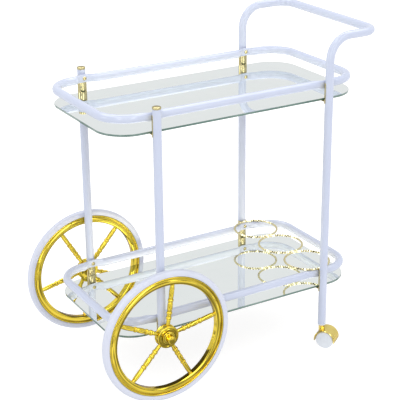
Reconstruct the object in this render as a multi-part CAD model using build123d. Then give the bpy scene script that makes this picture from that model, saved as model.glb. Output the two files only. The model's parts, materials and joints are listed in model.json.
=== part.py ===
from build123d import *
import os

# Two-shelf drinks cart. Millimetres, +Z up, floor at Z = 0, handle at the +X end.
# Left and right are as seen from the handle, so left is -Y.

# Tubes of the frame
tube_d = 20.0
tube_wall = 1.2

# Frame layout, to the tube axes
leg_span_x = 462.0
leg_span_y = 380.0
front_leg_above_rail = 20.0
front_leg_below_axle = 16.0
rear_leg_foot_z = 60.5
handle_z = 803.0
handle_reach = 135.0
handle_leg_bend_r = 55.0
handle_corner_r = 38.0

# Guard rails, pressed flat where they meet a leg
rail_overhang = 100.0
rail_corner_r = 68.0
handle_above_rail = 115.0
lower_rail_above_axle = 31.0
rail_press_t = 6.0
rail_press_flat = 16.0
rail_press_ramp = 22.0

# Mirror glass shelves
shelf_t = 5.0
shelf_drop = 33.5
shelf_inset = 3.0
shelf_edge_chamfer = 0.7

# Shelf brackets and the pads that carry the shelves
bracket_t = 1.5
bracket_below_rail_top = 4.5
ring_bracket_above_rail = 3.5
ledge_w = 16.0
ledge_past_pad = 0.4
gusset_t = 2.5
gusset_h = 2.5
pad_d = 11.0
pad_t = 1.0

# Rail screws and the threaded inserts in the legs
screw_d = 5.0
screw_head_d = 10.0
screw_head_h = 3.4
insert_d = 7.4
insert_length = 9.0

# Front leg caps and plugs
cap_h = 6.5
cap_edge_r = 1.6
plug_depth = 12.0
plug_flange_t = 2.0

# Large wheels
wheel_r = 165.0
wheel_standoff = 13.0
tyre_w = 17.0
tyre_tread_r = 7.0
tyre_depth = 15.0
rim_w = 17.0
rim_depth = 19.0
rim_flat_w = 12.0
rim_lip_h = 4.0
rim_groove_w = 1.0
spoke_count = 5
left_spoke_angle = 82.0
right_spoke_angle = 23.5

# Drum hub: two flanges on a core, and a stepped boss towards the leg
hub_r = 27.5
hub_half_w = 9.0
hub_flange_t = 3.0
hub_edge = 1.4
hub_core_r = 25.0
hub_step_r = 20.0
hub_boss_r = 14.0
nut_recess_r = 10.5
nut_recess_depth = 2.0
cap_groove_r = 13.4
cap_groove_w = 1.0
cap_groove_depth = 1.9
hub_cap_flange_r = 15.5
hub_cap_flange_t = 2.5
hub_cap_r = 10.0
hub_cap_h = 18.3
hub_cap_wall = 1.8
hub_cap_edge_r = 2.2

# Turned spokes: tenon in the hub, slim root, beads, two swells and a plain end
spoke_tenon_r = 3.5
spoke_tenon_depth = 8.0
spoke_root_r = 4.2
spoke_collar_r = 4.8
spoke_collar_length = 1.5
spoke_collar_taper = 12.0
spoke_neck_r = 5.1
spoke_swell_r = 6.4
spoke_outer_swell_r = 5.9
spoke_bead_r = 6.8
spoke_bead_length = 6.5
spoke_inner_bead_at = 46.0
spoke_second_bead_at = 58.5
spoke_outer_bead_at = 90.0
spoke_end_r = 4.9
spoke_end_length = 6.0

# Axle parts
axle_d = 8.0
axle_head_d = 14.0
axle_head_t = 2.4
axle_head_edge_r = 1.2
axle_end_past_nut = 1.3
spacer_d = 16.0
spacer_t = 2.0
bush_wall = 2.0
washer_d = 18.0
washer_t = 1.5
nut_flats = 13.0
nut_t = 6.5

# Casters
caster_angle = -54.0
caster_trail = 13.5
caster_wheel_r = 22.5
caster_wheel_w = 16.0
caster_wheel_dome = 1.8
caster_tread_r = 2.5
caster_axle_d = 5.0
caster_axle_length = 30.0
hood_gap = 2.5
hood_t = 2.0
hood_w = 42.0
hood_skirt = 4.0
web_t = 6.0
axle_boss_r = 6.0
neck_d = 15.0
stem_d = 8.0
stem_in_neck = 11.5
stem_in_leg = 33.0
socket_flange_t = 2.0
socket_depth = 35.0

# Bottle rings
ring_count = 3
ring_wire_d = 5.5
braze_r = 3.0

# Clearances
seat_gap = 0.05
screw_hole_clearance = 0.4
insert_clearance = 0.1
plug_clearance = 0.1
running_clearance = 0.05
turning_gap = 0.3
swivel_gap = 0.5
ring_gap = 0.1
collar_gap = 0.6
head_room = 0.5

# Places worked out from the sizes above
tube_r = tube_d / 2
bore_r = tube_r - tube_wall
frame_middle_x = (wheel_r - handle_reach - tube_r) / 2
front_leg_x = frame_middle_x - leg_span_x / 2
rear_leg_x = frame_middle_x + leg_span_x / 2
leg_y = leg_span_y / 2
axle_z = wheel_r
handle_x = rear_leg_x + handle_reach
upper_rail_z = handle_z - handle_above_rail
lower_rail_z = axle_z + lower_rail_above_axle
front_leg_top_z = upper_rail_z + front_leg_above_rail
rail_length = leg_span_x + 2 * rail_overhang

# Distances from the middle plane, going inwards from a leg
saddle_r = tube_r + seat_gap + bracket_t
rail_out_y = leg_y - saddle_r - seat_gap
rail_y = rail_out_y - tube_r
press_y = rail_out_y - rail_press_t / 2
screw_seat_y = rail_out_y - rail_press_t - seat_gap

shelf_length = rail_length + tube_d - 2 * shelf_inset
shelf_width = 2 * (rail_out_y - shelf_inset)
shelf_corner_r = rail_corner_r + tube_r - shelf_inset
pad_y = shelf_width / 2 - pad_d / 2
ledge_reach = leg_y - pad_y + pad_d / 2 + ledge_past_pad

# Distances along a wheel's axle, outwards from the wheel's middle plane
wheel_offset = tube_r + wheel_standoff
wheel_y = leg_y + wheel_offset
spacer_end_z = spacer_t - wheel_standoff
hub_inner_z = spacer_end_z + turning_gap
recess_floor_z = hub_half_w - nut_recess_depth
washer_z = recess_floor_z + turning_gap
nut_z = washer_z + washer_t
axle_end_z = nut_z + nut_t + axle_end_past_nut

tyre_seat_r = wheel_r - tyre_depth
rim_in_r = tyre_seat_r - rim_depth
bush_r = axle_d / 2 + running_clearance + bush_wall

ring_pitch = (2 * rail_out_y + ring_gap) / ring_count
ring_r = (ring_pitch - ring_gap - ring_wire_d) / 2
ring_z = lower_rail_z + tube_r + seat_gap + ring_wire_d / 2

neck_top_z = rear_leg_foot_z - socket_flange_t - swivel_gap
hood_in_r = caster_wheel_r + hood_gap
hood_out_r = hood_in_r + hood_t
caster_wheel_in_y = web_t / 2 + turning_gap

SIDES = {"left": -1, "right": 1}
LEGS = {"front": front_leg_x, "rear": rear_leg_x}
SHELVES = {"upper": upper_rail_z, "lower": lower_rail_z}

nodes = {}


def keep(name, *solids):
    """Store one named piece, or a group of alike pieces."""
    nodes[name] = solids[0] if len(solids) == 1 else Compound(list(solids))


def across(radius, length, x, y, z):
    """Cylinder along Y with its middle at the given point."""
    return Pos(x, y, z) * Rot(90, 0, 0) * Cylinder(radius, length)


def swept(path, radius):
    """Solid round bar along a path."""
    return sweep(Plane(origin=path @ 0, z_dir=path % 0) * Circle(radius), path=path)


def tube(path):
    """Hollow frame tube along a path."""
    return swept(path, tube_r) - swept(path, bore_r)


def turned(points):
    """Turned piece about Z from an outline of (radius, height) corners."""
    outline = Polyline([(r, 0, z) for r, z in points], close=True)
    return revolve(make_face(outline), axis=Axis.Z)


def disc(radius, z_low, z_high):
    """Cylinder about Z between two heights."""
    return Pos(0, 0, (z_low + z_high) / 2) * Cylinder(radius, z_high - z_low)


def dome(radius, height, z):
    """Cap of a ball, with its flat side at the given height."""
    ball_r = (radius**2 + height**2) / (2 * height)
    return Pos(0, 0, z + height - ball_r) * Sphere(ball_r) & disc(radius, z, z + height)


def insert_hole(x, side, z):
    """Cut in the inner wall of a leg for a threaded insert."""
    radius = insert_d / 2 + insert_clearance
    return across(radius, tube_d, x, side * (leg_y - tube_r), z)


# Front legs, their gold caps and the plugs in their feet
def front_leg(side):
    foot_z = axle_z - front_leg_below_axle
    path = Line((front_leg_x, side * leg_y, foot_z), (front_leg_x, side * leg_y, front_leg_top_z))
    leg = tube(path)
    leg -= across(axle_d / 2 + screw_hole_clearance / 2, 2 * tube_d, front_leg_x, side * leg_y, axle_z)
    for rail_z in SHELVES.values():
        leg -= insert_hole(front_leg_x, side, rail_z)
    return leg


def leg_cap():
    """Cap on the leg's top end at Z = 0, with a stub that fills the bore."""
    top = fillet(disc(tube_r, 0, cap_h).edges().group_by(Axis.Z)[-1], cap_edge_r)
    return top + disc(bore_r - plug_clearance, -plug_depth, 0)


def leg_plug():
    """Plug in the leg's foot at Z = 0, below the axle bolt."""
    stub_top = front_leg_below_axle - axle_d
    return disc(tube_r, -plug_flange_t, 0) + disc(bore_r - plug_clearance, 0, stub_top)


for name, side in SIDES.items():
    keep(f"front_leg_{name}", front_leg(side))
    keep(f"front_leg_cap_{name}", Pos(front_leg_x, side * leg_y, front_leg_top_z) * leg_cap())
    foot_z = axle_z - front_leg_below_axle
    keep(f"front_leg_plug_{name}", Pos(front_leg_x, side * leg_y, foot_z) * leg_plug())


# Rear legs and push handle, one bent tube
def handle_frame():
    path = FilletPolyline(
        (rear_leg_x, -leg_y, rear_leg_foot_z),
        (rear_leg_x, -leg_y, handle_z),
        (handle_x, -leg_y, handle_z),
        (handle_x, leg_y, handle_z),
        (rear_leg_x, leg_y, handle_z),
        (rear_leg_x, leg_y, rear_leg_foot_z),
        radius=[handle_leg_bend_r, handle_corner_r, handle_corner_r, handle_leg_bend_r],
    )
    frame = tube(path)
    for side in SIDES.values():
        for rail_z in SHELVES.values():
            frame -= insert_hole(rear_leg_x, side, rail_z)
    return frame


keep("handle_frame", handle_frame())


# Guard rails, closed loops pressed flat at each leg, with a screw hole through the flat
def pressed_length(leg_x, side, rail_z, radius, flat_r):
    """Bar that runs from round to flat and back to round, flush with the rail's outer side."""
    def section(x, y, outline):
        return Plane(origin=(leg_x + x, side * y, rail_z), x_dir=(0, 0, 1), z_dir=(1, 0, 0)) * outline

    flat = rail_press_flat / 2
    end = flat + rail_press_ramp
    return loft([
        section(-end, rail_y, Circle(radius)),
        section(-flat, press_y, Ellipse(radius, flat_r)),
        section(flat, press_y, Ellipse(radius, flat_r)),
        section(end, rail_y, Circle(radius)),
    ], ruled=True)


def rail_bar(rail_z, radius, flat_r):
    """Solid bar around the loop, round with four flats."""
    outline = RectangleRounded(rail_length, 2 * rail_y, rail_corner_r)
    bar = swept(Pos(frame_middle_x, 0, rail_z) * outline.wire(), radius)
    gap = Box(rail_press_flat + 2 * rail_press_ramp, 2 * tube_d, 2 * tube_d)
    for leg_x in LEGS.values():
        for side in SIDES.values():
            bar -= Pos(leg_x, side * rail_y, rail_z) * gap
            bar += pressed_length(leg_x, side, rail_z, radius, flat_r)
    return bar


def guard_rail(rail_z):
    flat_r = rail_press_t / 2
    rail = rail_bar(rail_z, tube_r, flat_r) - rail_bar(rail_z, bore_r, flat_r - tube_wall)
    for leg_x in LEGS.values():
        for side in SIDES.values():
            hole_r = (screw_d + screw_hole_clearance) / 2
            rail -= across(hole_r, 2 * tube_d, leg_x, side * rail_y, rail_z)
    return rail


# Mirror glass shelves
def mirror_shelf(rail_z):
    outline = RectangleRounded(shelf_length, shelf_width, shelf_corner_r)
    sheet = extrude(outline, -shelf_t)
    rims = sheet.edges().group_by(Axis.Z)
    sheet = chamfer(rims[0] + rims[-1], shelf_edge_chamfer)
    return Pos(frame_middle_x, 0, rail_z - shelf_drop) * sheet


for shelf, rail_z in SHELVES.items():
    keep(f"{shelf}_guard_rail", guard_rail(rail_z))
    keep(f"{shelf}_shelf", mirror_shelf(rail_z))


# Shelf brackets: half-round saddle on the leg, ledge under the shelf, gusset under the ledge
def bracket(leg_x, side, rail_z, carries_axle, carries_ring):
    """Bracket drawn about its leg's axis, with its inner side towards -Y."""
    ledge_z = rail_z - shelf_drop - shelf_t - pad_t
    under_z = ledge_z - bracket_t
    low_z = under_z - gusset_h
    above_rail = ring_bracket_above_rail if carries_ring else -bracket_below_rail_top
    saddle = disc(saddle_r, low_z, rail_z + tube_r + above_rail)
    ledge = Pos(0, -ledge_reach / 2, under_z + bracket_t / 2) * Box(ledge_w, ledge_reach, bracket_t)
    corners = [(0, 0, under_z), (0, -ledge_reach, under_z), (0, -saddle_r, low_z), (0, 0, low_z)]
    web = make_face(Polyline(corners, close=True))
    arm = ledge + extrude(web, gusset_t / 2, dir=(1, 0, 0), both=True)
    if carries_axle:
        arm -= across(axle_head_d / 2 + head_room, 2 * ledge_reach, 0, 0, axle_z)
    solid = saddle + arm - disc(tube_r + seat_gap, low_z, handle_z)
    solid -= Pos(0, tube_d, rail_z) * Box(2 * tube_d, 2 * tube_d, handle_z)
    solid -= across((screw_d + screw_hole_clearance) / 2, 2 * tube_d, 0, -tube_r, rail_z)
    if carries_axle:
        solid -= across((axle_d + screw_hole_clearance) / 2, 2 * tube_d, 0, -tube_r, axle_z)
    return Pos(leg_x, side * leg_y, 0) * (solid if side > 0 else mirror(solid, about=Plane.XZ))


def shelf_pad(leg_x, side, rail_z):
    """Soft disc on a bracket's ledge, just inside the shelf's edge."""
    top_z = rail_z - shelf_drop - shelf_t
    return Pos(leg_x, side * pad_y, top_z - pad_t / 2) * Cylinder(pad_d / 2, pad_t)


# Rail screws: dome head on the rail's flat, shank into the insert in the leg
def rail_screw(leg_x, side, rail_z):
    shank_end = leg_y - seat_gap - tube_wall
    screw = dome(screw_head_d / 2, screw_head_h, 0) + disc(screw_d / 2, screw_seat_y - shank_end, 0)
    return Pos(leg_x, side * screw_seat_y, rail_z) * Rot(90 * side, 0, 0) * screw


def leg_insert(leg_x, side, rail_z):
    """Threaded sleeve set into the leg's inner wall."""
    start_y = leg_y - tube_r + tube_wall / 2
    sleeve = Cylinder(insert_d / 2, insert_length)
    sleeve -= Cylinder(screw_d / 2 + insert_clearance, insert_length)
    middle_y = side * (start_y + insert_length / 2)
    return Pos(leg_x, middle_y, rail_z) * Rot(90, 0, 0) * sleeve


screws = []
inserts = []
for shelf, rail_z in SHELVES.items():
    pads = []
    for end, leg_x in LEGS.items():
        for name, side in SIDES.items():
            carries_axle = shelf == "lower" and end == "front"
            carries_ring = shelf == "lower" and end == "rear"
            saddle = bracket(leg_x, side, rail_z, carries_axle, carries_ring)
            keep(f"{shelf}_{end}_{name}_bracket", saddle)
            pads.append(shelf_pad(leg_x, side, rail_z))
            screws.append(rail_screw(leg_x, side, rail_z))
            inserts.append(leg_insert(leg_x, side, rail_z))
    keep(f"{shelf}_shelf_pads", *pads)
keep("rail_screws", *screws)
keep("leg_inserts", *inserts)


# Bottle rings in a row on the lower rail, brazed to each other and to the rear brackets
def bottle_ring(y):
    return Pos(rear_leg_x, y, ring_z) * Torus(ring_r, ring_wire_d / 2)


def middle_ring():
    """Middle ring with the braze lumps that join it to its neighbours."""
    ring = bottle_ring(0)
    for side in SIDES.values():
        neighbour = Pos(rear_leg_x, side * ring_pitch, ring_z) * Torus(ring_r, ring_wire_d / 2 + seat_gap)
        ring += Pos(rear_leg_x, side * ring_pitch / 2, ring_z) * Sphere(braze_r) - neighbour
    return ring


def end_ring(side):
    """Outer ring with the braze lump that joins it to its leg's bracket, drawn on the left."""
    lump = Pos(rear_leg_x, braze_r / 2 - rail_out_y, ring_z) * Sphere(braze_r)
    lump -= Pos(rear_leg_x, -leg_y, ring_z) * Cylinder(saddle_r + seat_gap, 4 * braze_r)
    ring = bottle_ring(-ring_pitch) + lump
    return ring if side < 0 else mirror(ring, about=Plane.XZ)


keep("bottle_ring_middle", middle_ring())
for name, side in SIDES.items():
    keep(f"bottle_ring_{name}", end_ring(side))


# Large wheels, drawn about Z with the outer face up
def tyre():
    body = disc(wheel_r, -tyre_w / 2, tyre_w / 2)
    body = fillet(body.edges(), tyre_tread_r)
    return body - disc(tyre_seat_r + seat_gap, -tyre_w, tyre_w)


def rim():
    """Ring with a flat inside, and on each face a broad bead, a groove and a lip."""
    lip_r = tyre_seat_r - rim_lip_h
    bead_r = lip_r - rim_groove_w
    crest_z = rim_w / 2
    flat_z = rim_flat_w / 2

    def moulding(first_r, last_r, out):
        start = (first_r, 0, out * flat_z)
        crest = ((first_r + last_r) / 2, 0, out * crest_z)
        return ThreePointArc(start, crest, (last_r, 0, out * flat_z))

    lines = [
        Line((rim_in_r, 0, -flat_z), (rim_in_r, 0, flat_z)),
        Line((tyre_seat_r, 0, flat_z), (tyre_seat_r, 0, -flat_z)),
    ]
    for out in (1, -1):
        lines.append(moulding(rim_in_r, bead_r, out))
        lines.append(Line((bead_r, 0, out * flat_z), (lip_r, 0, out * flat_z)))
        lines.append(moulding(lip_r, tyre_seat_r, out))
    edges = [edge for line in lines for edge in line.edges()]
    return revolve(make_face(edges), axis=Axis.Z)


def spoke():
    """Turned spoke along X, from its tenon in the hub to the rim."""
    shoulder = hub_core_r + seat_gap
    collar = hub_r + collar_gap
    half = spoke_bead_length / 2

    def bulge(first, last, radius):
        middle = (first + last) / 2
        return ThreePointArc((first, 0, spoke_neck_r), (middle, 0, radius), (last, 0, spoke_neck_r))

    lines = [
        Polyline(
            (hub_core_r - spoke_tenon_depth, 0, 0),
            (hub_core_r - spoke_tenon_depth, 0, spoke_tenon_r),
            (shoulder, 0, spoke_tenon_r),
            (shoulder, 0, spoke_root_r),
            (collar, 0, spoke_root_r),
            (collar, 0, spoke_collar_r),
            (collar + spoke_collar_length, 0, spoke_collar_r),
            (collar + spoke_collar_length + spoke_collar_taper, 0, spoke_neck_r),
            (spoke_inner_bead_at - half, 0, spoke_neck_r),
        ),
        bulge(spoke_inner_bead_at - half, spoke_inner_bead_at + half, spoke_bead_r),
        Line((spoke_inner_bead_at + half, 0, spoke_neck_r), (spoke_second_bead_at - half, 0, spoke_neck_r)),
        bulge(spoke_second_bead_at - half, spoke_second_bead_at + half, spoke_bead_r),
        bulge(spoke_second_bead_at + half, spoke_outer_bead_at - half, spoke_swell_r),
        bulge(spoke_outer_bead_at - half, spoke_outer_bead_at + half, spoke_bead_r),
        bulge(spoke_outer_bead_at + half, rim_in_r - spoke_end_length, spoke_outer_swell_r),
        Polyline(
            (rim_in_r - spoke_end_length, 0, spoke_neck_r),
            (rim_in_r, 0, spoke_end_r),
            (rim_in_r, 0, 0),
            (hub_core_r - spoke_tenon_depth, 0, 0),
        ),
    ]
    edges = [edge for line in lines for edge in line.edges()]
    solid = revolve(make_face(edges), axis=Axis.X)
    return solid & disc(rim_in_r - seat_gap, -wheel_r, wheel_r)


def hub():
    flange_in_z = hub_half_w - hub_flange_t
    edge_z = hub_half_w - hub_edge
    step_z = (hub_inner_z - hub_half_w) / 2
    body = turned([
        (0, hub_inner_z),
        (hub_boss_r, hub_inner_z),
        (hub_boss_r, step_z),
        (hub_step_r, step_z),
        (hub_step_r, -hub_half_w),
        (hub_r - hub_edge, -hub_half_w),
        (hub_r, -edge_z),
        (hub_r, -flange_in_z),
        (hub_core_r, -flange_in_z),
        (hub_core_r, flange_in_z),
        (hub_r, flange_in_z),
        (hub_r, edge_z),
        (hub_r - hub_edge, hub_half_w),
        (0, hub_half_w),
    ])
    body -= disc(bush_r + seat_gap, hub_inner_z, hub_half_w)
    body -= disc(nut_recess_r, recess_floor_z, hub_half_w)
    groove_z = hub_half_w - cap_groove_depth
    body -= disc(cap_groove_r + cap_groove_w, groove_z, hub_half_w) - disc(cap_groove_r, groove_z, hub_half_w)
    socket_x = hub_core_r - spoke_tenon_depth / 2
    socket = Cylinder(spoke_tenon_r + seat_gap, spoke_tenon_depth + 2 * seat_gap)
    for step in range(spoke_count):
        turn = Rot(0, 0, step * 360 / spoke_count)
        body -= turn * Pos(socket_x, 0, 0) * Rot(0, 90, 0) * socket
    return body


def hub_bush():
    return disc(bush_r, hub_inner_z, recess_floor_z) - disc(bush_r - bush_wall, -wheel_r, wheel_r)


def hub_cap():
    """Barrel cap over the nut, with a flange and a rim that snaps into the hub's groove."""
    base_z = hub_half_w + seat_gap
    top_z = base_z + hub_cap_h
    flange_z = base_z + hub_cap_flange_t
    barrel = fillet(disc(hub_cap_r, base_z, top_z).edges().group_by(Axis.Z)[-1], hub_cap_edge_r)
    flange = disc(hub_cap_flange_r, base_z, flange_z)
    flange = fillet(flange.edges().group_by(Axis.Z)[-1], hub_cap_flange_t / 2)
    inner = disc(hub_cap_r - hub_cap_wall, base_z, top_z - hub_cap_wall)
    skirt_low = hub_half_w - cap_groove_depth + seat_gap
    skirt = disc(cap_groove_r + cap_groove_w - seat_gap, skirt_low, flange_z - hub_cap_flange_t / 2)
    skirt -= disc(cap_groove_r + seat_gap, skirt_low, flange_z)
    return barrel + flange + skirt - inner


# Axle parts, drawn in the same place as the wheel
def axle_bolt():
    """Bolt whose head is hollowed underneath to sit on the front leg's bracket."""
    seat_z = -wheel_offset - saddle_r - seat_gap
    head = disc(axle_head_d / 2, seat_z - axle_head_t, -wheel_offset)
    head = fillet(head.edges().group_by(Axis.Z)[0], axle_head_edge_r)
    head -= Pos(0, 0, -wheel_offset) * Rot(90, 0, 0) * Cylinder(saddle_r + seat_gap, 2 * axle_head_d)
    return head + disc(axle_d / 2, seat_z - axle_head_t / 2, axle_end_z)


def axle_spacer():
    """Round spacer whose inner end is hollowed to sit on the leg."""
    body = disc(spacer_d / 2, -wheel_offset, spacer_end_z)
    body -= disc((axle_d + screw_hole_clearance) / 2, -wheel_offset, spacer_end_z)
    leg = Pos(0, 0, -wheel_offset) * Rot(90, 0, 0) * Cylinder(tube_r + seat_gap, 2 * spacer_d)
    return body - leg


def axle_washer():
    return disc(washer_d / 2, washer_z, nut_z) - disc(axle_d / 2 + screw_hole_clearance / 2, washer_z, nut_z)


def axle_nut():
    hexagon = RegularPolygon(nut_flats / 2, 6, major_radius=False)
    block = extrude(Pos(0, 0, nut_z) * hexagon, nut_t)
    return block - disc(axle_d / 2 + seat_gap, nut_z, nut_z + nut_t)


for name, side in SIDES.items():
    place = Location(Plane(origin=(front_leg_x, side * wheel_y, axle_z), x_dir=(1, 0, 0), z_dir=(0, side, 0)))
    first_angle = left_spoke_angle if side < 0 else right_spoke_angle
    at_spokes = place * Rot(0, 0, first_angle)
    steps = [Rot(0, 0, step * 360 / spoke_count) for step in range(spoke_count)]
    keep(f"wheel_tyre_{name}", place * tyre())
    keep(f"wheel_rim_{name}", place * rim())
    keep(f"wheel_spokes_{name}", *[at_spokes * turn * spoke() for turn in steps])
    keep(f"wheel_hub_{name}", at_spokes * hub())
    keep(f"wheel_bush_{name}", place * hub_bush())
    keep(f"hub_cap_{name}", place * hub_cap())
    keep(f"axle_bolt_{name}", place * axle_bolt())
    keep(f"axle_spacer_{name}", place * axle_spacer())
    keep(f"axle_washer_{name}", place * axle_washer())
    keep(f"axle_nut_{name}", place * axle_nut())


# Casters, drawn with the swivel axis on Z and the wheels trailing towards +X
def caster_section(outline, width):
    """Solid across the caster from an outline drawn about the wheel axle."""
    side_view = Plane(origin=(caster_trail, 0, caster_wheel_r), x_dir=(1, 0, 0), z_dir=(0, -1, 0))
    return extrude(side_view * outline, width / 2, both=True)


def caster_hood():
    reach = 2 * hood_out_r
    below = Pos(0, -hood_skirt - reach / 2) * Rectangle(2 * reach, reach)
    shell = caster_section(Circle(hood_out_r) - Circle(hood_in_r) - below, hood_w)
    web = caster_section((Circle(hood_in_r + hood_t / 2) - below) + Circle(axle_boss_r), web_t)
    neck = disc(neck_d / 2, caster_wheel_r, neck_top_z)
    neck -= caster_section(Circle(hood_in_r), hood_w)
    hood = shell + web + neck
    hood -= disc(stem_d / 2 + seat_gap, neck_top_z - stem_in_neck - seat_gap, neck_top_z)
    return hood - caster_section(Circle(caster_axle_d / 2 + seat_gap / 2), hood_w)


def caster_stem():
    return disc(stem_d / 2, neck_top_z - stem_in_neck, rear_leg_foot_z + stem_in_leg)


def caster_socket():
    """Sleeve in the rear leg's foot that the caster's stem turns in."""
    low_z = rear_leg_foot_z - socket_flange_t
    body = disc(tube_r, low_z, rear_leg_foot_z)
    body += disc(bore_r - plug_clearance, rear_leg_foot_z, rear_leg_foot_z + socket_depth)
    return body - disc(stem_d / 2 + running_clearance, low_z, rear_leg_foot_z + socket_depth)


def caster_axle():
    return across(caster_axle_d / 2, caster_axle_length, caster_trail, 0, caster_wheel_r)


def caster_wheel(side):
    """Wheel with a domed outer face and a blind bore for the axle."""
    face_y = caster_wheel_in_y + caster_wheel_w
    body = disc(caster_wheel_r, caster_wheel_in_y, face_y)
    body = fillet(body.edges(), caster_tread_r)
    body += dome(caster_wheel_r - caster_tread_r, caster_wheel_dome, face_y)
    bore_end = caster_axle_length / 2 + turning_gap
    body -= disc(caster_axle_d / 2 + running_clearance, 0, bore_end)
    return Pos(caster_trail, 0, caster_wheel_r) * Rot(-90 * side, 0, 0) * body


for name, side in SIDES.items():
    place = Pos(rear_leg_x, side * leg_y, 0) * Rot(0, 0, caster_angle)
    keep(f"caster_socket_{name}", place * caster_socket())
    keep(f"caster_hood_{name}", place * caster_hood())
    keep(f"caster_stem_{name}", place * caster_stem())
    keep(f"caster_axle_{name}", place * caster_axle())
    keep(f"caster_front_wheel_{name}", place * caster_wheel(-1))
    keep(f"caster_back_wheel_{name}", place * caster_wheel(1))


os.makedirs("parts", exist_ok=True)
for name, solid in nodes.items():
    solid.label = name
    export_step(solid, f"parts/{name}.step")
print(len(nodes), "nodes written")
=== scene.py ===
import json
import math

import bmesh
import bpy
from mathutils import Matrix, Vector


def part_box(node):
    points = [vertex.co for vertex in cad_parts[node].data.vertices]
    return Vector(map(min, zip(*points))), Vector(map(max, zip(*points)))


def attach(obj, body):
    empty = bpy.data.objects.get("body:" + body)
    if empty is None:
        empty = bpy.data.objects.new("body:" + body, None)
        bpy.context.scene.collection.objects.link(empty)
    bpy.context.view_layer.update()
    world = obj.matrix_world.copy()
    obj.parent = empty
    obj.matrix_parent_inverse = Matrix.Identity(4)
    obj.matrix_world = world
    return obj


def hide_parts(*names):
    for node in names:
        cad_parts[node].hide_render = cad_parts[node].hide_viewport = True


# Two-shelf drinks cart on large gold wheels. Metres, +Z up, handle at the +X end, left is -Y.
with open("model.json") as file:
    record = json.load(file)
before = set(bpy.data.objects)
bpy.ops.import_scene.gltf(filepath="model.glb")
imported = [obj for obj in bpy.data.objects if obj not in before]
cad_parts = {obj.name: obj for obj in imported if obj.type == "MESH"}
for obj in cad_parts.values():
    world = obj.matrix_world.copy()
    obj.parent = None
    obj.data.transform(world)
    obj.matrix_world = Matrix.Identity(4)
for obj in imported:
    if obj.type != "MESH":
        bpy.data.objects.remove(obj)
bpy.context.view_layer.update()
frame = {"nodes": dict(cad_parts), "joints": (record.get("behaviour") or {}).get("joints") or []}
scene = bpy.context.scene

MM = 0.001
UP = Vector((0, 0, 1))
ALONG = Vector((1, 0, 0))
ACROSS = Vector((0, 1, 0))
SIDES = {"left": -1, "right": 1}
SHELVES = ("upper", "lower")


def middle(node):
    """Middle of a CAD node's box."""
    low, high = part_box(node)
    return (low + high) / 2


def extent(node):
    """Size of a CAD node's box."""
    low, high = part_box(node)
    return high - low


# Places and sizes read from the frame
tube_r = extent("front_leg_left").x / 2
front_x = middle("front_leg_left").x
rear_x = middle("caster_socket_left").x
leg_y = middle("front_leg_right").y
foot_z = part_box("handle_frame")[0].z
handle_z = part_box("handle_frame")[1].z - tube_r
handle_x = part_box("handle_frame")[1].x - tube_r
cart_x = middle("upper_guard_rail").x
rail_half_x = extent("upper_guard_rail").x / 2 - tube_r
rail_half_y = extent("upper_guard_rail").y / 2 - tube_r
wheel_centre = {side: middle(f"wheel_tyre_{side}") for side in SIDES}
wheel_r = extent("wheel_tyre_left").z / 2
ends = {"front": front_x, "rear": rear_x}
joints = {joint["name"]: joint for joint in frame["joints"]}

# Sizes that the frame's boxes don't tell
HANDLE_BEND_R = 55 * MM
HANDLE_CORNER_R = 38 * MM
RAIL_CORNER_R = 68 * MM
RAIL_PRESS_T = 6 * MM
RAIL_PRESS_FLAT = 16 * MM
RAIL_PRESS_RAMP = 22 * MM
MIRROR_CORNER_R = 75 * MM
MIRROR_ARRIS = 0.7 * MM

# Fineness of the meshes
TUBE_SIDES = 48
BEND_STEPS = 14
PRESS_STEPS = 6
MIRROR_CORNER_STEPS = 24
SADDLE_STEPS = 32
WHEEL_STEPS = 180
HOOD_STEPS = 48
MERGE = 0.005 * MM


# Shader helpers

def add_node(tree, kind, inputs=None, **settings):
    """New shader node with its settings, and with values or links on its inputs."""
    node = tree.nodes.new(kind)
    for name, value in settings.items():
        setattr(node, name, value)
    for socket, value in (inputs or {}).items():
        if isinstance(value, bpy.types.NodeSocket):
            tree.links.new(value, node.inputs[socket])
        else:
            node.inputs[socket].default_value = value
    return node


def grey(level):
    """Neutral colour of a level."""
    return (level, level, level, 1)


def mix_colours(tree, share, first, second, **settings):
    """Mix of two colours, each a link or a plain colour."""
    inputs = {"Factor": share, "A": first, "B": second}
    return add_node(tree, "ShaderNodeMix", inputs, data_type="RGBA", **settings).outputs["Result"]


def calculate(tree, operation, *terms):
    """Result of one sum on links or numbers."""
    return add_node(tree, "ShaderNodeMath", dict(enumerate(terms)), operation=operation).outputs["Value"]


def fit_span(tree, value, span, onto=(0.0, 1.0), **settings):
    """Value carried from one span onto another."""
    inputs = {"Value": value, "From Min": span[0], "From Max": span[1], "To Min": onto[0], "To Max": onto[1]}
    return add_node(tree, "ShaderNodeMapRange", inputs, **settings).outputs["Result"]


def noise(tree, place, scale, detail, roughness=0.5):
    """Noise value over a surface."""
    inputs = {"Vector": place, "Scale": scale, "Detail": detail, "Roughness": roughness}
    return add_node(tree, "ShaderNodeTexNoise", inputs).outputs["Fac"]


def colour_ramp(tree, value, stops, interpolation="LINEAR"):
    """Colour read from a ramp, whose stops of place and colour run upwards."""
    node = add_node(tree, "ShaderNodeValToRGB", {"Fac": value})
    ramp = node.color_ramp
    ramp.interpolation = interpolation
    ramp.elements[0].position, ramp.elements[0].color = stops[0]
    ramp.elements[1].position, ramp.elements[1].color = stops[-1]
    for position, colour in stops[1:-1]:
        ramp.elements.new(position).color = colour
    return node.outputs["Color"]


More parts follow.
